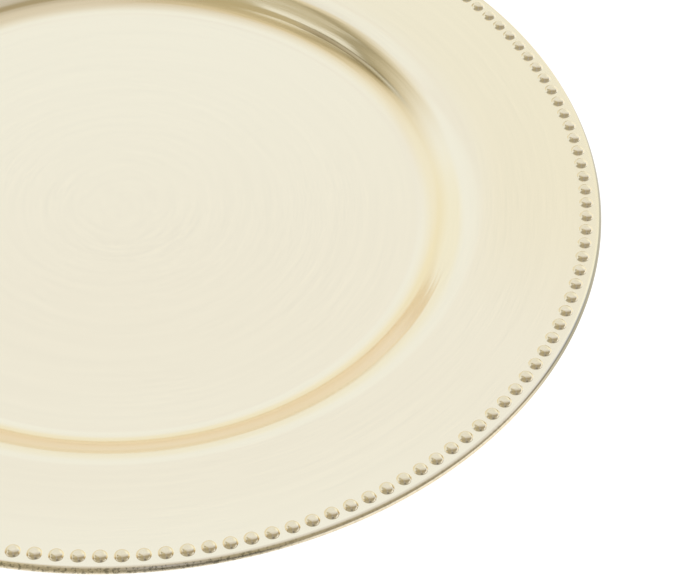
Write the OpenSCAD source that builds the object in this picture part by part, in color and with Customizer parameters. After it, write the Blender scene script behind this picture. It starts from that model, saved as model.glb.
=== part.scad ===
// Beaded charger plate, in millimetres.
// A round moulded plate stands on its foot ring at z = 0, with its centre line on the Z axis.
// A metallic film covers the show side as far as the plate's widest line, and a ring of
// round topped beads stands on the flat land beside the rim's edge.

/* [Plate] */
// Outer diameter of the plate
plate_d = 330; // [300:1:380]
// Thickness of the wall, with its film
wall_t = 2; // [1.8:0.1:2.4]
// Thickness of the metallic film on the show side
film_t = 0.12; // [0.08:0.01:0.2]

/* [Well] */
// Diameter of the well's flat floor
floor_d = 203.5; // [170:0.5:212]
// Depth of the well below the inner edge of the rim
well_depth = 10.2; // [8:0.1:11]
// Slope of the wall's straight part, in degrees
well_slope = 37; // [32:1:40]
// Radius of the hollow curve that turns the floor up into the wall
well_hollow_r = 13.5; // [10:0.5:15]
// Radius of the rounded shoulder that turns the wall over into the rim
well_shoulder_r = 16.5; // [10:0.5:18]

/* [Rim] */
// Slope of the rim, rising outwards, in degrees
rim_slope = 1.5; // [0:0.5:5]
// Flat strip of the land inside the ring of beads
land_inner_w = 0.6; // [0.3:0.1:2]
// Flat strip of the land outside the ring of beads
land_outer_w = 0.9; // [0.4:0.05:2]
// Radius that rounds the show side over into the edge's slanting face
edge_round_r = 1.65; // [1:0.05:1.8]
// Slope of the edge's slanting face, in degrees
edge_slope = 55; // [48:1:58]
// Radius that rounds that face over into the underside, with the plate's widest line on it
edge_under_r = 0.3; // [0.2:0.05:0.4]

/* [Beads] */
// Diameter of one bead where it meets the rim
bead_d = 4.9; // [3:0.1:7]
// Height of one bead above the rim
bead_h = 1.4; // [0.8:0.1:2.2]
// Space between two neighbouring beads
bead_gap = 1.6; // [0.6:0.1:4]

/* [Underside] */
// Height of the foot ring that the plate stands on
foot_h = 1.2; // [0.6:0.1:3]
// Width of the foot ring where it touches the table
foot_w = 3; // [2:0.1:6]
// Radius of the rounds beside the foot ring's flat face
foot_round_r = 0.4; // [0.2:0.1:0.5]
// Distance from the edge of the well's flat floor in to the middle of the foot ring
foot_inset = 6; // [3:0.5:20]
// Slope that lets each side of the foot ring leave its mould, in degrees
foot_draft = 12; // [2:1:20]
// Diameter of the shallow recess round the moulding point
gate_recess_d = 9; // [5:0.5:16]
// Depth of that recess
gate_recess_h = 0.6; // [0.4:0.1:0.9]
// Diameter of the moulding point's stub
gate_d = 2.4; // [1.5:0.1:4]
// Height of the stub, which stays inside the recess
gate_h = 0.35; // [0.2:0.05:0.4]

/* [Hidden] */

// Length by which a cut runs past what it trims
over = 1;
// Sides of a drawn full turn of the plate and of a bead
turn_fn = 240;
bead_fn = 48;
// Degrees from one point of an arc in the section to the next, at most
arc_step = 4;

plate_r = plate_d / 2;
floor_r = floor_d / 2;
bead_r = bead_d / 2;

// Heights of the floor's underside and of its show face
under_z = foot_h;
floor_z = under_z + wall_t;

// The wall is a hollow arc, a straight part and a shoulder arc, which run smoothly into each other
well_line_run = (
    well_depth - well_hollow_r * (1 - cos(well_slope)) - well_shoulder_r * (cos(rim_slope) - cos(well_slope))
) / tan(well_slope);
hollow_c = [floor_r, floor_z + well_hollow_r];
shoulder_c = hollow_c + (well_hollow_r + well_shoulder_r) * [sin(well_slope), -cos(well_slope)]
    + well_line_run * [1, tan(well_slope)];
rim_start = shoulder_c + well_shoulder_r * [-sin(rim_slope), cos(rim_slope)];

// The edge is the upper round, the slanting face and the lower round
edge_round_drop = edge_round_r * (1 - cos(edge_slope));
edge_round_run = edge_round_r * sin(edge_slope);
edge_face_drop = wall_t - edge_round_drop - edge_under_r * (1 + cos(edge_slope));
edge_face_run = edge_face_drop / tan(edge_slope);
edge_r = plate_r - edge_under_r * (1 - sin(edge_slope)) - edge_face_run - edge_round_run;

// The ring of beads lies between the two strips of the flat land
bead_ring_r = edge_r - land_outer_w - bead_r;
land_r = bead_ring_r - bead_r - land_inner_w;
land_z = rim_start[1] + (land_r - rim_start[0]) * tan(rim_slope);
edge_round_c = [edge_r, land_z - edge_round_r];
edge_under_c = [plate_r - edge_under_r, land_z - wall_t + edge_under_r];

// Beads that fit round the ring, and the sphere that each one is the top of
bead_count = round(2 * PI * bead_ring_r / (bead_d + bead_gap));
bead_sphere_r = (bead_r * bead_r + bead_h * bead_h) / (2 * bead_h);

foot_r = floor_r - foot_inset;
foot_flare = foot_h * tan(foot_draft);
// How far in from the corner a round on the foot ring begins, as a share of its radius
foot_round_share = 1 / tan((90 + foot_draft) / 2);
// Centres of the rounds beside the foot ring's flat face
foot_outer_c = [foot_r + foot_w / 2 - foot_round_r * foot_round_share, foot_round_r];
foot_inner_c = [foot_r - foot_w / 2 + foot_round_r * foot_round_share, foot_round_r];

// The points that follow the start of an arc about c, which turns from the direction a to b
function arc(c, r, a, b) = let (steps = ceil(abs(b - a) / arc_step)) [
    for (i = [1 : steps]) c + r * [cos(a + (b - a) * i / steps), sin(a + (b - a) * i / steps)]
];

// The line at a depth below the show face, from the floor's edge out to the flat land
function wall_line(depth) = concat(
    [[floor_r, floor_z - depth]],
    arc(hollow_c, well_hollow_r + depth, -90, well_slope - 90),
    arc(shoulder_c, well_shoulder_r - depth, 90 + well_slope, 90 + rim_slope),
    [[land_r + depth * tan(rim_slope / 2), land_z - depth]]
);

// The line at a depth below the show face, from the flat land to the plate's widest line
function edge_line(depth) = concat(
    [[edge_r, land_z - depth]],
    arc(edge_round_c, edge_round_r - depth, 90, 90 - edge_slope),
    [edge_under_c + (edge_under_r - depth) * [sin(edge_slope), cos(edge_slope)]],
    arc(edge_under_c, edge_under_r - depth, 90 - edge_slope, 0)
);

// The lower round of the edge, from the widest line to the flat underside
function edge_under_line() = concat([[plate_r, edge_under_c[1]]], arc(edge_under_c, edge_under_r, 0, -90));

// The foot ring, from its outer root down, across its flat face and up to its inner root
function foot_line() = concat(
    [[foot_r + foot_w / 2 + foot_flare, under_z]],
    [foot_outer_c + foot_round_r * [cos(foot_draft), -sin(foot_draft)]],
    arc(foot_outer_c, foot_round_r, -foot_draft, -90),
    [[foot_inner_c[0], 0]],
    arc(foot_inner_c, foot_round_r, 270, 180 + foot_draft),
    [[foot_r - foot_w / 2 - foot_flare, under_z]]
);

function reversed(points) = [for (i = [len(points) - 1 : -1 : 0]) points[i]];

// Half section of the moulding, inside the film and down to its foot ring
module body_section() {
    polygon(concat(
        [[0, floor_z - film_t]],
        wall_line(film_t),
        edge_line(film_t),
        edge_under_line(),
        reversed(wall_line(wall_t)),
        foot_line(),
        [[0, under_z]]
    ));
}

// Half section of the film
module film_section() {
    polygon(concat(
        [[0, floor_z]],
        wall_line(0),
        edge_line(0),
        reversed(edge_line(film_t)),
        reversed(wall_line(film_t)),
        [[0, floor_z - film_t]]
    ));
}

// Recess in the underside with the stub that the moulding point leaves in it
module gate_mark() {
    difference() {
        translate([0, 0, under_z - over]) {
            cylinder(d = gate_recess_d, h = over + gate_recess_h, $fn = bead_fn);
        }
        translate([0, 0, under_z + gate_recess_h - gate_h]) {
            cylinder(d = gate_d, h = gate_h + over, $fn = bead_fn);
        }
    }
}

// The moulded plate: well, wall, rim and edge in one piece, with the foot ring below
module plate_body() {
    color([0.78, 0.69, 0.49]) difference() {
        rotate_extrude($fn = turn_fn) body_section();
        gate_mark();
    }
}

// The metallic film over the show side, which ends at the plate's widest line
module gold_film() {
    color([0.91, 0.85, 0.68]) rotate_extrude($fn = turn_fn) film_section();
}

// One bead: the top of a sphere, with its flat base at z = 0
module bead() {
    intersection() {
        translate([0, 0, bead_h - bead_sphere_r]) sphere(r = bead_sphere_r, $fn = bead_fn);
        cylinder(r = bead_r + over, h = bead_h + over, $fn = bead_fn);
    }
}

// The ring of beads, evenly spaced, each standing on the film of the flat land
module rim_beads() {
    color([0.86, 0.78, 0.58]) for (i = [0 : bead_count - 1]) {
        rotate([0, 0, i * 360 / bead_count]) translate([bead_ring_r, 0, land_z]) bead();
    }
}

plate_body();
gold_film();
rim_beads();
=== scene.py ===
"""A champagne gold charger plate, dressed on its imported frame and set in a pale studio.

The plate is a moulded plastic body with a metallic film over its show side and a ring of
round topped beads beside the rim's edge. Lengths are in metres and angles in degrees, and the
plate stands on z = 0 with its centre line on the Z axis.
"""

import logging
import math
from collections.abc import Callable
from dataclasses import dataclass, field
from enum import Enum

import bpy
from mathutils import Matrix, Vector

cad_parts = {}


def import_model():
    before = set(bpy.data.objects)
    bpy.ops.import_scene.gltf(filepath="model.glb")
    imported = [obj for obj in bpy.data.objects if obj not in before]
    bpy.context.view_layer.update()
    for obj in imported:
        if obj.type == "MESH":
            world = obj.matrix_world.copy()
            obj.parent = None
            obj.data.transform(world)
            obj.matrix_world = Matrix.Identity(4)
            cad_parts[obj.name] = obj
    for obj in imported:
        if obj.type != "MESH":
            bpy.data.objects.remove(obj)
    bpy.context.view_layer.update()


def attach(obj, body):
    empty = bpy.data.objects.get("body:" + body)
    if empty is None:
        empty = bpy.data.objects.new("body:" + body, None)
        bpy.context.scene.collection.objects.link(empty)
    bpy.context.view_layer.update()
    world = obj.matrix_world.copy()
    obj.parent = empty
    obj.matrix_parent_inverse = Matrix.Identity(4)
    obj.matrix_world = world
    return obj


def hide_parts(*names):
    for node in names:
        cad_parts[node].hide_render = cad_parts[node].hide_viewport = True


Point = tuple[float, float]
Span = tuple[float, float]
Colour = tuple[float, float, float]
Socket = bpy.types.NodeSocket
log = logging.getLogger("charger_plate")


class MaterialSlot(Enum):
    """The finishes that the part's record names."""

    PLASTIC = "moulded_plastic"
    FILM = "gold_film"
    BEADS = "gold_beads"


class Blend(Enum):
    """How one node layer is mixed into another."""

    MIX = "MIX"
    MULTIPLY = "MULTIPLY"


# Shapes


def on_circle(centre: Point, radius: float, turn: float) -> Point:
    """Finds the point of a circle that lies in a direction.

    Args:
        centre: Centre of the circle, as radius from the centre line and height.
        radius: Radius of the circle.
        turn: Direction of the point, in degrees.

    Returns:
        The point.
    """
    t = math.radians(turn)
    return (centre[0] + radius * math.cos(t), centre[1] + radius * math.sin(t))


def arc(centre: Point, radius: float, start: float, end: float, step: float) -> list[Point]:
    """Lays points along a circular arc, without the arc's first point.

    Args:
        centre: Centre of the arc, as radius from the centre line and height.
        radius: Radius of the arc.
        start: Direction of the first point, in degrees.
        end: Direction of the last point, in degrees.
        step: Largest turn from one point to the next, in degrees.

    Returns:
        The points that follow the arc's first point, in order.
    """
    steps = max(1, math.ceil(abs(end - start) / step))
    return [on_circle(centre, radius, start + (end - start) * i / steps) for i in range(1, steps + 1)]


@dataclass(frozen=True)
class PlateSection:
    """Half section of the plate, from its centre line to its edge.

    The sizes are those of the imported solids, but for the edge's upper round and the slope of its
    face, which are a little fuller. The steps are the largest turns between two points of an arc.
    """

    plate_r: float = 0.165
    wall_t: float = 0.002
    film_t: float = 0.00012
    floor_r: float = 0.10175
    well_depth: float = 0.0102
    well_slope: float = 37.0
    well_hollow_r: float = 0.0135
    well_shoulder_r: float = 0.0165
    rim_slope: float = 1.5
    land_inner_w: float = 0.0006
    land_outer_w: float = 0.0009
    edge_round_r: float = 0.00186
    edge_slope: float = 62.0
    edge_under_r: float = 0.0003
    bead_r: float = 0.00245
    bead_h: float = 0.0014
    bead_gap: float = 0.0016
    foot_h: float = 0.0012
    foot_w: float = 0.003
    foot_round_r: float = 0.0004
    foot_inset: float = 0.006
    foot_draft: float = 12.0
    gate_recess_r: float = 0.0045
    gate_recess_h: float = 0.0006
    gate_r: float = 0.0012
    gate_h: float = 0.00035
    wall_step: float = 1.0
    edge_step: float = 2.5
    widest_step: float = 7.0
    under_step: float = 6.0
    foot_step: float = 5.0

    @property
    def floor_z(self) -> float:
        """Height of the well's show face."""
        return self.foot_h + self.wall_t

    @property
    def hollow_c(self) -> Point:
        """Centre of the hollow arc between the floor and the wall."""
        return (self.floor_r, self.floor_z + self.well_hollow_r)

    @property
    def shoulder_c(self) -> Point:
        """Centre of the shoulder arc between the wall and the rim."""
        slope, rim = math.radians(self.well_slope), math.radians(self.rim_slope)
        hollow_rise = self.well_hollow_r * (1 - math.cos(slope))
        shoulder_rise = self.well_shoulder_r * (math.cos(rim) - math.cos(slope))
        rise = self.well_depth - hollow_rise - shoulder_rise
        both = self.well_hollow_r + self.well_shoulder_r
        return (
            self.hollow_c[0] + both * math.sin(slope) + rise / math.tan(slope),
            self.hollow_c[1] - both * math.cos(slope) + rise,
        )

    @property
    def edge_r(self) -> float:
        """Radius at which the show side starts to turn down."""
        slope = math.radians(self.edge_slope)
        round_drop = self.edge_round_r * (1 - math.cos(slope))
        face_drop = self.wall_t - round_drop - self.edge_under_r * (1 + math.cos(slope))
        face_run = face_drop / math.tan(slope)
        under_run = self.edge_under_r * (1 - math.sin(slope))
        return self.plate_r - under_run - face_run - self.edge_round_r * math.sin(slope)

    @property
    def edge_under_c(self) -> Point:
        """Centre of the lower round of the edge."""
        return (self.plate_r - self.edge_under_r, self.land_z - self.wall_t + self.edge_under_r)

    @property
    def bead_ring_r(self) -> float:
        """Radius of the circle through the middles of the beads."""
        return self.edge_r - self.land_outer_w - self.bead_r

    @property
    def land_r(self) -> float:
        """Inner radius of the flat land that carries the beads."""
        return self.bead_ring_r - self.bead_r - self.land_inner_w

    @property
    def land_z(self) -> float:
        """Height of the flat land."""
        slope = math.radians(self.rim_slope)
        start_r = self.shoulder_c[0] - self.well_shoulder_r * math.sin(slope)
        start_z = self.shoulder_c[1] + self.well_shoulder_r * math.cos(slope)
        return start_z + (self.land_r - start_r) * math.tan(slope)

    def wall_line(self, depth: float) -> list[Point]:
        """Follows the show face at a depth, from the floor's edge to the flat land.

        Args:
            depth: Distance below the show face.

        Returns:
            Points from the floor's edge outwards.
        """
        slope, rim = self.well_slope, self.rim_slope
        lean = depth * math.tan(math.radians(rim / 2))
        return [
            (self.floor_r, self.floor_z - depth),
            *arc(self.hollow_c, self.well_hollow_r + depth, -90, slope - 90, self.wall_step),
            *arc(self.shoulder_c, self.well_shoulder_r - depth, 90 + slope, 90 + rim, self.wall_step),
            (self.land_r + lean, self.land_z - depth),
        ]

    def edge_line(self, depth: float) -> list[Point]:
        """Follows the show face at a depth, from the flat land to the plate's widest line.

        Args:
            depth: Distance below the show face.

        Returns:
            Points from the land outwards.
        """
        round_c = (self.edge_r, self.land_z - self.edge_round_r)
        turn = 90 - self.edge_slope
        return [
            (self.edge_r, self.land_z - depth),
            *arc(round_c, self.edge_round_r - depth, 90, turn, self.edge_step),
            on_circle(self.edge_under_c, self.edge_under_r - depth, turn),
            *arc(self.edge_under_c, self.edge_under_r - depth, turn, 0, self.widest_step),
        ]

    def edge_under_line(self) -> list[Point]:
        """Follows the lower round, from the widest line to the flat underside.

        Returns:
            Points from the widest line inwards.
        """
        widest = (self.plate_r, self.edge_under_c[1])
        return [widest, *arc(self.edge_under_c, self.edge_under_r, 0, -90, self.under_step)]

    def foot_line(self) -> list[Point]:
        """Follows the foot ring, from its outer root to its inner root.

        Returns:
            Points down the outer side, across the flat face and up the inner side.
        """
        foot_r = self.floor_r - self.foot_inset
        flare = self.foot_h * math.tan(math.radians(self.foot_draft))
        tuck = self.foot_round_r / math.tan(math.radians((90 + self.foot_draft) / 2))
        outer = (foot_r + self.foot_w / 2 - tuck, self.foot_round_r)
        inner = (foot_r - self.foot_w / 2 + tuck, self.foot_round_r)
        return [
            (foot_r + self.foot_w / 2 + flare, self.foot_h),
            *arc(outer, self.foot_round_r, self.foot_step - self.foot_draft, -90, self.foot_step),
            (inner[0], 0.0),
            *arc(inner, self.foot_round_r, 270, 180 + self.foot_draft, self.under_step),
            (foot_r - self.foot_w / 2 - flare, self.foot_h),
        ]

    def gate_line(self) -> list[Point]:
        """Follows the moulding point's recess in the underside, in to the centre line.

        Returns:
            Points from the recess's mouth to the middle of the stub's end.
        """
        roof = self.foot_h + self.gate_recess_h
        return [
            (self.gate_recess_r, self.foot_h),
            (self.gate_recess_r, roof),
            (self.gate_r, roof),
            (self.gate_r, roof - self.gate_h),
            (0.0, roof - self.gate_h),
        ]

    def body_outline(self) -> list[Point]:
        """Closed outline of the moulding, from its top middle round to its bottom middle."""
        return [
            (0.0, self.floor_z - self.film_t),
            *self.wall_line(self.film_t),
            *self.edge_line(self.film_t),
            *self.edge_under_line(),
            *reversed(self.wall_line(self.wall_t)),
            *self.foot_line(),
            *self.gate_line(),
        ]

    def film_outline(self) -> list[Point]:
        """Closed outline of the film, from its top middle round to its bottom middle."""
        return [
            (0.0, self.floor_z),
            *self.wall_line(0),
            *self.edge_line(0),
            *reversed(self.edge_line(self.film_t)),
            *reversed(self.wall_line(self.film_t)),
            (0.0, self.floor_z - self.film_t),
        ]


@dataclass
class TurnedMesh:
    """Collects turned forms and makes one closed mesh of them."""

    name: str
    points: list[tuple[float, float, float]] = field(default_factory=list)
    faces: list[tuple[int, ...]] = field(default_factory=list)

    def add(self, outline: list[Point], sides: int, middle: tuple[float, float, float]) -> None:
        """Turns an outline about an upright axis.

        Args:
            outline: Points from the axis round to the axis, clockwise about the material.
            sides: Number of steps in the full turn.
            middle: Where the axis stands, and the height that the outline starts from.
        """
        turns = [math.tau * i / sides for i in range(sides)]
        around = [(math.cos(t), math.sin(t)) for t in turns]
        rings: list[list[int]] = []
        for r, z in outline:
            first = len(self.points)
            spots = around if r > 0 else around[:1]
            for c, s in spots:
                self.points.append((middle[0] + r * c, middle[1] + r * s, middle[2] + z))
            rings.append([first + i % len(spots) for i in range(sides)])
        for inner, outer in zip(rings, rings[1:]):
            for i in range(sides):
                j = (i + 1) % sides
                corners = (inner[i], outer[i], outer[j], inner[j])
                self.faces.append(tuple(dict.fromkeys(corners)))

    def build(self, crease: float) -> bpy.types.Object:
        """Makes the object and shades it smooth up to a crease.

        Args:
            crease: Sharpest turn between two faces that is still shaded smooth, in degrees.

        Returns:
            The new object, linked to the scene.
        """
        mesh = bpy.data.meshes.new(self.name)
        mesh.from_pydata(self.points, [], self.faces)
        mesh.validate()
        mesh.shade_smooth()
        mesh.set_sharp_from_angle(angle=math.radians(crease))
        thing = bpy.data.objects.new(self.name, mesh)
        bpy.context.scene.collection.objects.link(thing)
        return thing


# Finishes


@dataclass(frozen=True)
class Grain:
    """Soft noise: its waves for each unit of length, its finer layers and their strength."""

    waves: float
    layers: float = 2.0
    strength: float = 0.5


class NodeBench:
    """Lays out and joins the nodes of one material or world."""

    def __init__(self, tree: bpy.types.NodeTree) -> None:
        """Starts with an empty tree."""
        self.tree = tree
        tree.nodes.clear()

    def put(self, kind: str, settings: dict | None = None, **inputs: object) -> bpy.types.Node:
        """Adds a node.

        Args:
            kind: Blender's name of the node type.
            settings: Properties of the node to set before its inputs.
            **inputs: Values or outputs for its inputs, by name with _ for a space, or by _ and a number.

        Returns:
            The new node.
        """
        node = self.tree.nodes.new(kind)
        for key, value in (settings or {}).items():
            setattr(node, key, value)
        for key, value in inputs.items():
            numbered = key.startswith("_")
            socket = node.inputs[int(key[1:]) if numbered else key.replace("_", " ")]
            if isinstance(value, Socket):
                self.tree.links.new(value, socket)
            else:
                socket.default_value = value
        return node

    def work_out(self, work: str, *terms: object) -> Socket:
        """Works out one number.

        Args:
            work: Blender's name of the arithmetic, such as MULTIPLY.
            *terms: Numbers or outputs.

        Returns:
            The output with the answer.
        """
        inputs = {f"_{i}": term for i, term in enumerate(terms)}
        return self.put("ShaderNodeMath", {"operation": work}, **inputs).outputs[0]

    def times(self, first: object, second: object) -> Socket:
        """Multiplies two numbers."""
        return self.work_out("MULTIPLY", first, second)

    def plus(self, first: object, second: object) -> Socket:
        """Adds two numbers."""
        return self.work_out("ADD", first, second)

    def ease(self, value: object, low: float, high: float, start: float = 0.0, end: float = 1.0) -> Socket:
        """Turns a number smoothly from one level to another.

        Args:
            value: Output that drives the change.
            low: Driving number at which the change begins.
            high: Driving number at which the change is complete.
            start: Level below the change.
            end: Level above the change.

        Returns:
            The output with the level.
        """
        node = self.put("ShaderNodeMapRange", {"interpolation_type": "SMOOTHSTEP"})
        for name, number in (("From Min", low), ("From Max", high), ("To Min", start), ("To Max", end)):
            node.inputs[name].default_value = number
        self.tree.links.new(value, node.inputs["Value"])
        return node.outputs["Result"]

    def ease_past(self, value: object, mark: float, fade: Span) -> Socket:
        """Turns a number smoothly from 0 to 1 beside a mark.

        Args:
            value: Output that drives the change.
            mark: Driving number that the fade is measured from.
            fade: Where the change begins and is complete, from the mark.

        Returns:
            The output with the level.
        """
        return self.ease(value, mark + fade[0], mark + fade[1])

    def colours(self, share: object, first: object, second: object, blend: Blend = Blend.MIX) -> Socket:
        """Mixes two colours.

        Args:
            share: Share of the second colour, or an output with it.
            first: Colour that lies below.
            second: Colour that is laid over it.
            blend: How the second colour is laid over the first.

        Returns:
            The output with the mixed colour.
        """
        node = self.put("ShaderNodeMix", {"data_type": "RGBA", "blend_type": blend.value})
        for index, value in ((0, share), (6, first), (7, second)):
            if isinstance(value, Socket):
                self.tree.links.new(value, node.inputs[index])
            elif index == 0:
                node.inputs[0].default_value = value
            else:
                node.inputs[index].default_value = (*value, 1.0)
        return node.outputs[2]

    def tinted(self, share: object, colour: object, tint: Colour) -> Socket:
        """Tints a colour in one place.

        Args:
            share: Output with the share of the tint.
            colour: Output with the colour so far.
            tint: Colour that it is multiplied by.

        Returns:
            The output with the tinted colour.
        """
        return self.colours(share, colour, self.colours(1.0, colour, tint, Blend.MULTIPLY))

    def noise(self, place: object, grain: Grain) -> Socket:
        """Reads soft noise.

        Args:
            place: Output with the place to read at.
            grain: Kind of noise.

        Returns:
            The output with the noise, from 0 to 1.
        """
        settings = {"Scale": grain.waves, "Detail": grain.layers, "Roughness": grain.strength}
        return self.put("ShaderNodeTexNoise", Vector=place, **settings).outputs["Fac"]


def empty_material(name: str) -> tuple[bpy.types.Material, NodeBench]:
    """Makes a material without nodes.

    Args:
        name: Name of the material.

    Returns:
        The material, and the bench that its nodes are laid out on.
    """
    made = bpy.data.materials.new(name)
    made.use_nodes = True
    return made, NodeBench(made.node_tree)


@dataclass(frozen=True)
class RingSpan:
    """A ring of the plate, with half the width over which each of its edges fades."""

    inner: float
    outer: float
    soft: float


@dataclass(frozen=True)
class SectorSpan:
    """A sector of the plate, which fades away to both sides.

    Its middle is a heading from +X. The other two are turns from the middle: where the sector
    starts to fade, and where it has gone.
    """

    middle: float
    kept: float
    gone: float


@dataclass(frozen=True)
class PlateCoordinates:
    """Where a point lies on the plate, for finishes that follow the turned form."""

    spot: Socket
    radius: Socket
    heading: Socket
    rings: Socket

    @classmethod
    def read(cls, bench: NodeBench, stretch: float) -> "PlateCoordinates":
        """Sets up the coordinates.

        Args:
            bench: Node bench of the material.
            stretch: Radius of the small circle that noise follows while it goes round the plate.

        Returns:
            Outputs with the place, the radius, the heading, and a place for noise that follows the rings.
        """
        spot = bench.put("ShaderNodeTexCoord").outputs["Object"]
        flat = bench.put("ShaderNodeVectorMath", {"operation": "MULTIPLY"}, _0=spot, _1=(1.0, 1.0, 0.0))
        length = bench.put("ShaderNodeVectorMath", {"operation": "LENGTH"}, _0=flat.outputs[0])
        radius = length.outputs["Value"]
        heading = bench.put("ShaderNodeVectorMath", {"operation": "NORMALIZE"}, _0=flat.outputs[0])
        way = bench.put("ShaderNodeSeparateXYZ", _0=heading.outputs[0])
        rings = bench.put(
            "ShaderNodeCombineXYZ",
            X=radius,
            Y=bench.times(way.outputs[0], stretch),
            Z=bench.times(way.outputs[1], stretch),
        )
        return cls(spot, radius, heading.outputs[0], rings.outputs[0])

    def ring(self, bench: NodeBench, span: RingSpan) -> Socket:
        """Works out where a ring of the plate is.

        Args:
            bench: Node bench of the material.
            span: The ring.

        Returns:
            The output with 1 in the ring and 0 elsewhere.
        """
        begun = bench.ease(self.radius, span.inner - span.soft, span.inner + span.soft)
        ended = bench.ease(self.radius, span.outer - span.soft, span.outer + span.soft, 1.0, 0.0)
        return bench.times(begun, ended)

    def sector(self, bench: NodeBench, span: SectorSpan) -> Socket:
        """Works out where a sector of the plate is.

        Args:
            bench: Node bench of the material.
            span: The sector.

        Returns:
            The output with 1 in the sector and 0 elsewhere.
        """
        turn = math.radians(span.middle)
        toward = (math.cos(turn), math.sin(turn), 0.0)
        along = bench.put("ShaderNodeVectorMath", {"operation": "DOT_PRODUCT"}, _0=self.heading, _1=toward)
        gone, kept = math.cos(math.radians(span.gone)), math.cos(math.radians(span.kept))
        return bench.ease(along.outputs["Value"], gone, kept)

    def stretch_of(self, bench: NodeBench, ring: RingSpan, sector: SectorSpan) -> Socket:
        """Works out where a ring lies inside a sector.

        Args:
            bench: Node bench of the material.
            ring: The ring.
            sector: The sector that it is limited to.

        Returns:
            The output with 1 in that stretch of the ring and 0 elsewhere.
        """
        return bench.times(self.ring(bench, ring), self.sector(bench, sector))


@dataclass(frozen=True)
class PaintedLightTone:
    """A ring of the film, or a stretch of one, tinted to paint shade, light or a reflection on it."""

    tint: Colour
    ring: RingSpan
    sector: SectorSpan | None = None

    def lay(self, bench: NodeBench, at: PlateCoordinates, colour: object) -> Socket:
        """Tints the film where this tone lies.

        Args:
            bench: Node bench of the material.
            at: Coordinates on the plate.
            colour: Output with the film's colour so far.

        Returns:
            The output with the tinted colour.
        """
        if self.sector:
            share = at.stretch_of(bench, self.ring, self.sector)
        else:
            share = at.ring(bench, self.ring)
        return bench.tinted(share, colour, self.tint)


@dataclass(frozen=True)
class FilmFold:
    """A slight fold of the film, which rises or falls from one radius to another."""

    rise: float
    start: float
    end: float


@dataclass(frozen=True)
class EdgeWearAndShade:
    """How the film is rubbed through along the plate's edge, and where a line of shade is painted along it.

    Each fade is measured outwards from the start of the edge's round.
    """

    speck_fade: Span = (0.0006, 0.0012)
    speck_grain: Grain = Grain(900.0, 3.0, 0.7)
    speck_level: Span = (0.52, 0.58)
    speck_share: float = 0.25
    front: SectorSpan = SectorSpan(-96.0, 10.0, 24.0)
    front_share: float = 0.55
    # Painted shade: a dark line along the edge on the right, standing in for shade that the edge mirrors
    shade_line_fade: Span = (0.0009, 0.0014)
    shade_line: SectorSpan = SectorSpan(-15.0, 14.0, 32.0)
    shade_line_share: float = 0.94

    def share(self, bench: NodeBench, at: PlateCoordinates, edge_r: float) -> Socket:
        """Works out where the film is gone, in specks all round, and where a dark line of painted shade
        lies along the edge on the right.

        Args:
            bench: Node bench of the material.
            at: Coordinates on the plate.
            edge_r: Radius at which the edge's round starts.

        Returns:
            The output with the share of the rubbed specks and the painted shade.
        """
        band = bench.ease_past(at.radius, edge_r, self.speck_fade)
        often = bench.plus(self.speck_share, bench.times(at.sector(bench, self.front), self.front_share))
        specks = bench.ease(bench.noise(at.spot, self.speck_grain), *self.speck_level)
        rubbed = bench.times(bench.times(specks, often), band)
        # Painted shade line along the edge on the right
        line = bench.ease_past(at.radius, edge_r, self.shade_line_fade)
        shaded_line = bench.times(line, at.sector(bench, self.shade_line))
        return bench.work_out("MAXIMUM", rubbed, bench.times(shaded_line, self.shade_line_share))


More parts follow.
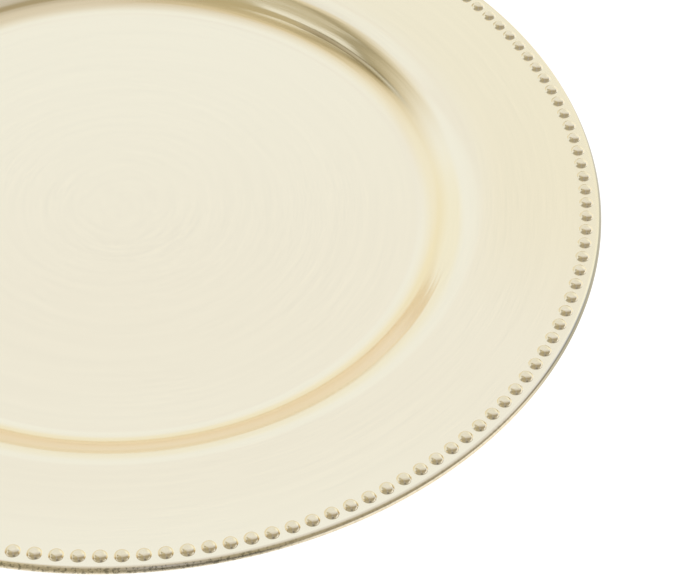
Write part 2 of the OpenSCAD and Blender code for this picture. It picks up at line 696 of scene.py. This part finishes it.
@dataclass(frozen=True)
class BrushedFilm:
    """Champagne gold metallic film, finely brushed in rings, with painted shade, light and reflections in
    some rings and sectors.

    The near sector faces the viewer and the far one lies behind the well. The lip is the edge's
    round, and its fades are measured outwards from edge_r, where that round starts.
    """

    gold: Colour = (0.93, 0.79, 0.56)
    painted_light_tones: tuple[PaintedLightTone, ...] = (
        # Painted shade: deeper gold in the hollow, all the way round, where the film mirrors itself
        PaintedLightTone((0.99, 0.94, 0.83), RingSpan(0.1055, 0.1112, 0.0025)),
        # Painted shade: tan line along the near shoulder, on the side facing the viewer
        PaintedLightTone((0.945, 0.885, 0.81), RingSpan(0.1163, 0.1176, 0.0014), SectorSpan(-98.0, 26.0, 52.0)),
        # Painted reflection: pink cast of the near wall
        PaintedLightTone((0.985, 0.94, 0.965), RingSpan(0.1085, 0.1160, 0.0022), SectorSpan(-90.0, 45.0, 66.0)),
        # Painted shade: short dark crease on the right of the far wall
        PaintedLightTone((0.62, 0.58, 0.46), RingSpan(0.1101, 0.1117, 0.0009), SectorSpan(37.0, 7.0, 14.0)),
        # Painted light: warmer right hand side of the rim
        PaintedLightTone((0.985, 0.965, 0.91), RingSpan(0.124, 0.170, 0.008), SectorSpan(22.0, 25.0, 60.0)),
    )
    # Painted shade: grey tint over the start of the edge's round on the right hand side
    lip_painted_shade: Colour = (0.87, 0.86, 0.86)
    lip_shade_fade: Span = (0.0, 0.0006)
    lip_shade_sector: SectorSpan = SectorSpan(16.0, 22.0, 45.0)
    dull: Colour = (0.86, 0.87, 0.88)
    dull_fade: Span = (0.0009, 0.0015)
    # Bare plastic where the film is rubbed through, also the colour of the painted shade line on the right
    wear_and_shade_colour: Colour = (0.33, 0.29, 0.19)
    wear_and_shade: EdgeWearAndShade = EdgeWearAndShade()
    edge_r: float = 0.163
    stretch: float = 0.0035
    fine: Grain = Grain(2600.0, 3.0, 0.6)
    broad: Grain = Grain(420.0, 2.0, 0.5)
    broad_share: float = 0.5
    patchy: Grain = Grain(22.0, 2.0)
    patch_level: Span = (0.35, 0.65)
    circles: Grain = Grain(700.0, 1.0)
    circle_level: float = 0.55
    swirl: RingSpan = RingSpan(0.017, 0.027, 0.004)
    brush_tone: float = 0.08
    roughness: float = 0.13
    brush_roughness: float = 0.06
    hollow: RingSpan = RingSpan(0.1055, 0.1112, 0.002)
    hollow_roughness: float = 0.05
    shoulder: RingSpan = RingSpan(0.1165, 0.1225, 0.0018)
    shoulder_roughness: float = 0.11
    near: SectorSpan = SectorSpan(-90.0, 55.0, 80.0)
    coat: float = 0.15
    coat_roughness: float = 0.06
    fine_depth: float = 0.0000012
    broad_depth: float = 0.000008
    wall: RingSpan = RingSpan(0.102, 0.124, 0.003)
    wall_extra: float = 7.0
    far: SectorSpan = SectorSpan(95.0, 64.0, 82.0)
    lines: Grain = Grain(1100.0, 1.0)
    lined: RingSpan = RingSpan(0.1100, 0.1118, 0.0004)
    line_depth: float = 0.000018
    folds: tuple[FilmFold, ...] = (
        FilmFold(-0.00015, 0.1078, 0.1110),
        FilmFold(0.00030, 0.1102, 0.1122),
        FilmFold(-0.00015, 0.1122, 0.1180),
    )

    def material(self, name: str) -> bpy.types.Material:
        """Makes the film's material.

        Args:
            name: Name of the material.

        Returns:
            The material.
        """
        made, bench = empty_material(name)
        at = PlateCoordinates.read(bench, self.stretch)
        fine = bench.noise(at.rings, self.fine)
        broad = bench.noise(at.rings, self.broad)
        strokes = self._strokes(bench, at, fine, broad)
        relief = self._relief(bench, at, fine, broad)
        bump = bench.put("ShaderNodeBump", Strength=1.0, Distance=1.0, Height=relief)
        shader = bench.put(
            "ShaderNodeBsdfPrincipled",
            Base_Color=self._colour(bench, at, strokes),
            Metallic=1.0,
            Roughness=self._roughness(bench, at, strokes),
            Coat_Weight=self.coat,
            Coat_Roughness=self.coat_roughness,
            Normal=bump.outputs[0],
        )
        bench.put("ShaderNodeOutputMaterial", Surface=shader.outputs[0])
        return made

    def _strokes(self, bench: NodeBench, at: PlateCoordinates, fine: object, broad: object) -> Socket:
        """Works out the brush strokes, with the circles round the middle of the well.

        Args:
            bench: Node bench of the material.
            at: Coordinates on the plate.
            fine: Output with the fine noise along the rings.
            broad: Output with the broad noise along the rings.

        Returns:
            The output with the strokes, above and below 0.
        """
        patches = bench.ease(bench.noise(at.spot, self.patchy), *self.patch_level)
        strokes = bench.times(bench.work_out("SUBTRACT", fine, 0.5), patches)
        strokes = bench.plus(strokes, bench.times(bench.work_out("SUBTRACT", broad, 0.5), self.broad_share))
        circles = bench.work_out("SUBTRACT", bench.noise(at.rings, self.circles), self.circle_level)
        return bench.plus(strokes, bench.times(circles, bench.times(at.ring(bench, self.swirl), patches)))

    def _colour(self, bench: NodeBench, at: PlateCoordinates, strokes: object) -> Socket:
        """Works out the film's colour, with its tints of painted shade, light and reflection, its duller
        lip with painted shade on the right, its rubbed specks and a painted shade line.

        Args:
            bench: Node bench of the material.
            at: Coordinates on the plate.
            strokes: Output with the brush strokes.

        Returns:
            The output with the colour.
        """
        level = bench.plus(1.0, bench.times(strokes, self.brush_tone))
        shade = bench.put("ShaderNodeCombineXYZ", X=level, Y=level, Z=level).outputs[0]
        colour = bench.colours(1.0, self.gold, shade, Blend.MULTIPLY)
        for tone in self.painted_light_tones:
            colour = tone.lay(bench, at, colour)
        # Painted shade on the lip's right hand side
        lip = bench.ease_past(at.radius, self.edge_r, self.lip_shade_fade)
        colour = bench.tinted(bench.times(lip, at.sector(bench, self.lip_shade_sector)), colour, self.lip_painted_shade)
        colour = bench.tinted(bench.ease_past(at.radius, self.edge_r, self.dull_fade), colour, self.dull)
        # Bare plastic in the rubbed specks, and painted shade in a line along the edge on the right
        return bench.colours(self.wear_and_shade.share(bench, at, self.edge_r), colour, self.wear_and_shade_colour)

    def _roughness(self, bench: NodeBench, at: PlateCoordinates, strokes: object) -> Socket:
        """Works out the film's roughness, which is greater in the hollow and on the near shoulder.

        Args:
            bench: Node bench of the material.
            at: Coordinates on the plate.
            strokes: Output with the brush strokes.

        Returns:
            The output with the roughness.
        """
        rough = bench.plus(self.roughness, bench.times(strokes, self.brush_roughness))
        rough = bench.plus(rough, bench.times(at.ring(bench, self.hollow), self.hollow_roughness))
        shoulder = at.stretch_of(bench, self.shoulder, self.near)
        return bench.plus(rough, bench.times(shoulder, self.shoulder_roughness))

    def _relief(self, bench: NodeBench, at: PlateCoordinates, fine: object, broad: object) -> Socket:
        """Works out the film's relief: brushing, stronger on the wall, and the far wall's lines and folds.

        Args:
            bench: Node bench of the material.
            at: Coordinates on the plate.
            fine: Output with the fine noise along the rings.
            broad: Output with the broad noise along the rings.

        Returns:
            The output with the height.
        """
        depth = bench.plus(1.0, bench.times(at.ring(bench, self.wall), self.wall_extra))
        brushed = bench.plus(bench.times(fine, self.fine_depth), bench.times(broad, self.broad_depth))
        turned = bench.times(bench.noise(at.rings, self.lines), at.ring(bench, self.lined))
        turned = bench.times(turned, self.line_depth)
        for fold in self.folds:
            turned = bench.plus(turned, bench.ease(at.radius, fold.start, fold.end, 0.0, fold.rise))
        return bench.plus(bench.times(brushed, depth), bench.times(turned, at.sector(bench, self.far)))


@dataclass(frozen=True)
class BeadFilm:
    """The same film on the beads, smooth and unbrushed, with painted light making them brighter towards
    their roots.
    """

    gold: Colour = (0.86, 0.71, 0.48)
    pale: Colour = (0.83, 0.68, 0.44)
    # Painted light: brighter, warmer gold low on each bead, at its root
    low: Colour = (0.93, 0.81, 0.60)
    root_light_fade: Span = (0.0003, 0.0011)
    land_z: float = 0.01423
    mottled: Grain = Grain(340.0, 2.0)
    mottle_level: Span = (0.3, 0.7)
    roughness: float = 0.14
    mottle_roughness: float = 0.06
    dimples: Grain = Grain(700.0, 1.0)
    dimple_depth: float = 0.0002
    dimple_strength: float = 0.15
    coat: float = 0.25
    coat_roughness: float = 0.06

    def material(self, name: str) -> bpy.types.Material:
        """Makes the beads' material.

        Args:
            name: Name of the material.

        Returns:
            The material.
        """
        made, bench = empty_material(name)
        spot = bench.put("ShaderNodeTexCoord").outputs["Object"]
        mottle = bench.noise(spot, self.mottled)
        colour = bench.colours(bench.ease(mottle, *self.mottle_level), self.gold, self.pale)
        height = bench.put("ShaderNodeSeparateXYZ", _0=spot).outputs[2]
        # Painted light towards the roots
        colour = bench.colours(bench.ease_past(height, self.land_z, self.root_light_fade), self.low, colour)
        bump = bench.put(
            "ShaderNodeBump",
            Strength=self.dimple_strength,
            Distance=self.dimple_depth,
            Height=bench.noise(spot, self.dimples),
        )
        shader = bench.put(
            "ShaderNodeBsdfPrincipled",
            Base_Color=colour,
            Metallic=1.0,
            Roughness=bench.plus(self.roughness, bench.times(mottle, self.mottle_roughness)),
            Coat_Weight=self.coat,
            Coat_Roughness=self.coat_roughness,
            Normal=bump.outputs[0],
        )
        bench.put("ShaderNodeOutputMaterial", Surface=shader.outputs[0])
        return made


@dataclass(frozen=True)
class MouldedPlastic:
    """Gold coloured moulding plastic, bare on the underside, and grey along its outer edge."""

    colour: Colour = (0.58, 0.45, 0.22)
    pale: Colour = (0.64, 0.51, 0.27)
    flow: Grain = Grain(16.0, 3.0)
    flow_level: Span = (0.35, 0.7)
    edge_grey: Colour = (0.64, 0.65, 0.66)
    edge_grey_r: float = 0.1638
    edge_grey_fade: Span = (-0.0004, 0.0004)
    stretch: float = 0.004
    turning: Grain = Grain(1500.0, 2.0)
    roughness: float = 0.42
    turning_roughness: float = 0.12
    grain: Grain = Grain(2400.0, 2.0)
    turning_share: float = 0.6
    grain_depth: float = 0.0001
    grain_strength: float = 0.2

    def material(self, name: str) -> bpy.types.Material:
        """Makes the plastic's material.

        Args:
            name: Name of the material.

        Returns:
            The material.
        """
        made, bench = empty_material(name)
        at = PlateCoordinates.read(bench, self.stretch)
        flow = bench.noise(at.spot, self.flow)
        turning = bench.noise(at.rings, self.turning)
        colour = bench.colours(bench.ease(flow, *self.flow_level), self.colour, self.pale)
        greyed = bench.ease_past(at.radius, self.edge_grey_r, self.edge_grey_fade)
        height = bench.plus(bench.noise(at.spot, self.grain), bench.times(turning, self.turning_share))
        bump = bench.put(
            "ShaderNodeBump",
            Strength=self.grain_strength,
            Distance=self.grain_depth,
            Height=height,
        )
        shader = bench.put(
            "ShaderNodeBsdfPrincipled",
            Base_Color=bench.colours(greyed, colour, self.edge_grey),
            Roughness=bench.plus(self.roughness, bench.times(turning, self.turning_roughness)),
            Normal=bump.outputs[0],
        )
        bench.put("ShaderNodeOutputMaterial", Surface=shader.outputs[0])
        return made


@dataclass(frozen=True)
class PaleFloor:
    """Plain white table top, lit from within as a light table is."""

    white: Colour = (0.30, 0.30, 0.30)
    glow: float = 0.96
    cloudy: Grain = Grain(30.0)
    roughness: Span = (0.6, 0.75)

    def material(self, name: str) -> bpy.types.Material:
        """Makes the floor's material.

        Args:
            name: Name of the material.

        Returns:
            The material.
        """
        made, bench = empty_material(name)
        spot = bench.put("ShaderNodeTexCoord").outputs["Object"]
        shader = bench.put(
            "ShaderNodeBsdfPrincipled",
            Base_Color=(*self.white, 1.0),
            Roughness=bench.ease(bench.noise(spot, self.cloudy), 0.0, 1.0, *self.roughness),
            Specular_IOR_Level=0.0,
            Emission_Color=(1.0, 1.0, 1.0, 1.0),
            Emission_Strength=self.glow,
        )
        bench.put("ShaderNodeOutputMaterial", Surface=shader.outputs[0])
        return made


# Pieces of the plate


@dataclass
class PlatePart:
    """One piece of the plate, put in place of its plain solid in the frame."""

    section: PlateSection
    finish: BrushedFilm | BeadFilm | MouldedPlastic
    node: str
    slot: MaterialSlot
    crease: float = 35.0

    def shape(self, mesh: TurnedMesh) -> None:
        """Adds the piece's forms to the mesh."""
        raise NotImplementedError

    def build(self) -> bpy.types.Object:
        """Builds the piece, dresses it and fixes it to the frame.

        Returns:
            The finished object.
        """
        mesh = TurnedMesh(f"{self.node}_turned")
        self.shape(mesh)
        thing = mesh.build(self.crease)
        thing.data.materials.append(self.finish.material(self.slot.value))
        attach(thing, "root")
        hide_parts(self.node)
        return thing


@dataclass
class PlateBody(PlatePart):
    """The moulded plate with its foot ring and moulding point."""

    sides: int = 720

    def shape(self, mesh: TurnedMesh) -> None:
        """Turns the body's outline."""
        mesh.add(self.section.body_outline(), self.sides, (0.0, 0.0, 0.0))


@dataclass
class GoldFilm(PlatePart):
    """The metallic film over the show side."""

    sides: int = 720

    def shape(self, mesh: TurnedMesh) -> None:
        """Turns the film's outline."""
        mesh.add(self.section.film_outline(), self.sides, (0.0, 0.0, 0.0))


@dataclass
class RimBeads(PlatePart):
    """The ring of round topped beads, each with a soft root on the film.

    The dome falls with a power of the distance from its middle, which is the flatness, as far as
    its share of the radius. The root then turns it out on to the film.
    """

    sides: int = 48
    rings: int = 12
    flatness: float = 3.7
    dome_share: float = 0.95
    root_w: float = 0.00010
    root_tuck: float = 0.7
    root_steps: int = 8

    @property
    def count(self) -> int:
        """Number of beads that fit round the ring."""
        pitch = 2 * self.section.bead_r + self.section.bead_gap
        return round(math.tau * self.section.bead_ring_r / pitch)

    def outline(self) -> list[Point]:
        """Closed outline of one bead.

        Returns:
            Points from the top middle down the dome, through its root and under it.
        """
        r, h, power = self.section.bead_r - self.root_w * self.root_tuck, self.section.bead_h, self.flatness
        shares = [i / self.rings * self.dome_share for i in range(self.rings + 1)]
        dome = [(r * share, h * (1 - share**power)) for share in shares]
        steep = power * h / r * self.dome_share ** (power - 1)
        start = dome[-1]
        bend = (start[0] + start[1] / steep, 0.0)
        toe = (bend[0] + self.root_w, 0.0)
        root = []
        for i in range(1, self.root_steps + 1):
            t = i / self.root_steps
            weights = ((1 - t) ** 2, 2 * t * (1 - t), t * t)
            root.append(tuple(sum(w * p[k] for w, p in zip(weights, (start, bend, toe))) for k in (0, 1)))
        sunk = -self.section.film_t / 2
        return [*dome, *root, (toe[0], sunk), (0.0, sunk)]

    def shape(self, mesh: TurnedMesh) -> None:
        """Turns every bead where it stands on the land."""
        outline = self.outline()
        for i in range(self.count):
            turn = math.tau * i / self.count
            x, y = self.section.bead_ring_r * math.cos(turn), self.section.bead_ring_r * math.sin(turn)
            mesh.add(outline, self.sides, (x, y, self.section.land_z))


# Studio


@dataclass(frozen=True)
class SoftPanel:
    """A feathered patch of light or shade, far away in the room.

    Headings are degrees from straight behind the plate, positive to the right, and rises are
    degrees above the table. The feather is half the width over which its sides and its lower and
    upper edge fade. A panel with a climb leans: its edges drop by that many degrees for each
    degree to the right of its middle.
    """

    colour: Colour
    heading: Span
    rise: Span
    feather: Span
    climb: float = 0.0

    def lay(self, bench: NodeBench, under: object, heading: object, rise: object) -> Socket:
        """Lays the panel over what is already in the room.

        Args:
            bench: Node bench of the world.
            under: Output with the colour so far.
            heading: Output with the heading of a ray.
            rise: Output with the rise of a ray.

        Returns:
            The output with the colour after it.
        """
        share: object = 1.0
        if self.climb:
            beside = bench.work_out("SUBTRACT", heading, sum(self.heading) / 2)
            rise = bench.plus(rise, bench.times(beside, self.climb))
        sides = (heading, self.heading, self.feather[0])
        edges = (rise, self.rise, self.feather[1])
        for value, span, soft in (sides, edges):
            opened = bench.ease(value, span[0] - soft, span[0] + soft)
            closed = bench.ease(value, span[1] - soft, span[1] + soft, 1.0, 0.0)
            share = bench.times(share, bench.times(opened, closed))
        return bench.colours(share, under, self.colour)


@dataclass
class Studio:
    """A pale table in a soft room.

    The room turns from the scoop behind the plate to the softer light overhead, and then to the
    dimmer side that the plate is seen from. Both turns are degrees up from straight behind. The
    panels lie over that in their order.
    """

    floor: PaleFloor = PaleFloor()
    floor_size: float = 8.0
    floor_gap: float = 0.00002
    scoop: Colour = (0.94, 1.06, 1.23)
    overhead: Colour = (0.77, 0.82, 0.92)
    overhead_turn: Span = (55.0, 92.0)
    viewing_side: Colour = (0.43, 0.41, 0.33)
    viewing_turn: Span = (88.0, 128.0)
    panels: tuple[SoftPanel, ...] = (
        # Long soft light behind the plate, which its flat parts mirror
        SoftPanel((0.907, 0.991, 1.13), (-60.0, 40.0), (44.0, 49.5), (20.0, 3.5)),
        # Low wall behind, from the left to the middle and on to the right
        SoftPanel((0.94, 1.02, 1.05), (-91.0, 14.0), (-100.0, 22.0), (5.0, 7.0)),
        SoftPanel((0.93, 1.01, 1.06), (14.0, 66.0), (-100.0, 44.0), (9.0, 8.0)),
        # Brighter patch of it on the right, and that patch's bluish side
        SoftPanel((1.08, 1.20, 1.28), (25.0, 67.0), (-6.0, 40.0), (10.0, 7.0)),
        SoftPanel((0.80, 0.92, 1.22), (68.0, 86.0), (4.0, 40.0), (9.0, 10.0)),
        # High shade on the left, its dark core, and the paler patch and side of that core
        SoftPanel((0.80, 0.78, 0.66), (-130.0, -56.0), (43.0, 84.0), (14.0, 6.0), 0.5),
        SoftPanel((0.30, 0.285, 0.19), (-130.0, -67.5), (39.5, 77.0), (13.0, 3.0), 0.5),
        SoftPanel((0.58, 0.57, 0.47), (-125.0, -79.0), (57.0, 76.0), (5.0, 2.5), 0.5),
        SoftPanel((0.52, 0.50, 0.38), (-145.0, -105.0), (30.0, 68.0), (4.0, 6.0)),
        # Bright slit that leans across the shade, the streak on the far wall
        SoftPanel((0.93, 1.02, 1.10), (-112.0, -79.0), (44.7, 54.8), (3.0, 1.5), 0.5),
        # Shade on the right, the dark lens on the beads
        SoftPanel((0.42, 0.405, 0.35), (83.0, 150.0), (-2.0, 27.0), (12.0, 6.0)),
        # Wall on the viewing side, in two parts since headings end at 180
        SoftPanel((0.46, 0.48, 0.56), (168.0, 400.0), (22.0, 64.0), (8.0, 10.0)),
        SoftPanel((0.46, 0.48, 0.56), (-400.0, -175.0), (22.0, 64.0), (8.0, 10.0)),
        # Dark foot of that wall, in two parts as well
        SoftPanel((0.19, 0.19, 0.18), (155.0, 184.0), (-10.0, 17.0), (4.0, 4.0)),
        SoftPanel((0.26, 0.27, 0.28), (-400.0, -176.0), (-10.0, 21.0), (5.0, 4.0)),
        # Bright strip low on the right, which the edge mirrors
        SoftPanel((1.25, 1.32, 1.48), (98.0, 151.0), (-10.0, 2.0), (4.0, 1.6)),
        # Everything below the table's far edge
        SoftPanel((1.0, 1.0, 1.0), (-400.0, 400.0), (-200.0, -3.0), (1.0, 2.0)),
    )

    def build(self) -> None:
        """Builds the floor, the room and the light."""
        self._lay_floor()
        self._light_room()

    def _lay_floor(self) -> None:
        """Lays the table top just under the foot ring."""
        half = self.floor_size / 2
        corners = [(-half, -half, 0), (half, -half, 0), (half, half, 0), (-half, half, 0)]
        mesh = bpy.data.meshes.new("table_top")
        mesh.from_pydata(corners, [], [(0, 1, 2, 3)])
        thing = bpy.data.objects.new("table_top", mesh)
        thing.location.z = -self.floor_gap
        mesh.materials.append(self.floor.material("pale_floor"))
        bpy.context.scene.collection.objects.link(thing)

    def _light_room(self) -> None:
        """Sets up the room's soft light and shade."""
        world = bpy.data.worlds.new("soft_room")
        world.use_nodes = True
        bpy.context.scene.world = world
        bench = NodeBench(world.node_tree)
        ray = bench.put("ShaderNodeTexCoord").outputs["Generated"]
        way = bench.put("ShaderNodeSeparateXYZ", _0=ray)
        heading = bench.work_out("DEGREES", bench.work_out("ARCTAN2", way.outputs[0], way.outputs[1]))
        rise = bench.work_out("DEGREES", bench.work_out("ARCSINE", way.outputs[2]))
        over = bench.work_out("DEGREES", bench.work_out("ARCTAN2", way.outputs[2], way.outputs[1]))
        colour = bench.colours(bench.ease(over, *self.overhead_turn), self.scoop, self.overhead)
        colour = bench.colours(bench.ease(over, *self.viewing_turn), colour, self.viewing_side)
        for panel in self.panels:
            colour = panel.lay(bench, colour, heading, rise)
        light = bench.put("ShaderNodeBackground", Color=colour, Strength=1.0)
        bench.put("ShaderNodeOutputWorld", Surface=light.outputs[0])


@dataclass(frozen=True)
class PhotoCamera:
    """The camera at the photograph's place.

    Its place and aim are measured from the middle of the beads' land. It is then rolled about its
    own axis, and the whole stand is turned about the plate's centre line. The lens and the sensor
    are in millimetres.
    """

    place: tuple[float, float, float] = (0.0, -0.592674, 0.571400)
    aim: tuple[float, float, float] = (0.072999, -0.056598, 0.0)
    roll: float = 2.2854
    turn: float = -1.267
    lens: float = 122.668
    sensor_w: float = 36.0
    clip: Span = (0.05, 50.0)

    def build(self, land_z: float) -> bpy.types.Object:
        """Sets the camera up and makes it the scene's own.

        Args:
            land_z: Height of the beads' land, which its place and aim are measured from.

        Returns:
            The camera.
        """
        data = bpy.data.cameras.new("photo_camera")
        data.sensor_fit = "HORIZONTAL"
        data.sensor_width = self.sensor_w
        data.lens = self.lens
        data.clip_start, data.clip_end = self.clip
        thing = bpy.data.objects.new("photo_camera", data)
        look = Vector(self.aim) - Vector(self.place)
        level = look.to_track_quat("-Z", "Y").to_matrix().to_4x4()
        rolled = level @ Matrix.Rotation(math.radians(self.roll), 4, "Z")
        stand = Matrix.Rotation(math.radians(self.turn), 4, "Z")
        lift = Matrix.Translation((0.0, 0.0, land_z))
        thing.matrix_world = stand @ lift @ Matrix.Translation(self.place) @ rolled
        bpy.context.scene.collection.objects.link(thing)
        bpy.context.scene.camera = thing
        return thing


def main() -> None:
    """Loads the frame, builds and dresses each piece, and sets up the studio."""
    logging.basicConfig(level=logging.INFO, format="%(message)s")
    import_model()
    section = PlateSection()
    makers: list[Callable[[], bpy.types.Object]] = [
        PlateBody(section, MouldedPlastic(), "plate_body", MaterialSlot.PLASTIC).build,
        GoldFilm(section, BrushedFilm(edge_r=section.edge_r), "gold_film", MaterialSlot.FILM).build,
        RimBeads(section, BeadFilm(land_z=section.land_z), "rim_beads", MaterialSlot.BEADS).build,
    ]
    for maker in makers:
        thing = maker()
        log.info("%s: %d points", thing.name, len(thing.data.vertices))
    Studio().build()
    PhotoCamera().build(section.land_z)
    view = bpy.context.scene.view_settings
    view.view_transform = "Standard"
    view.look = "None"


if __name__ == "__main__":
    main()
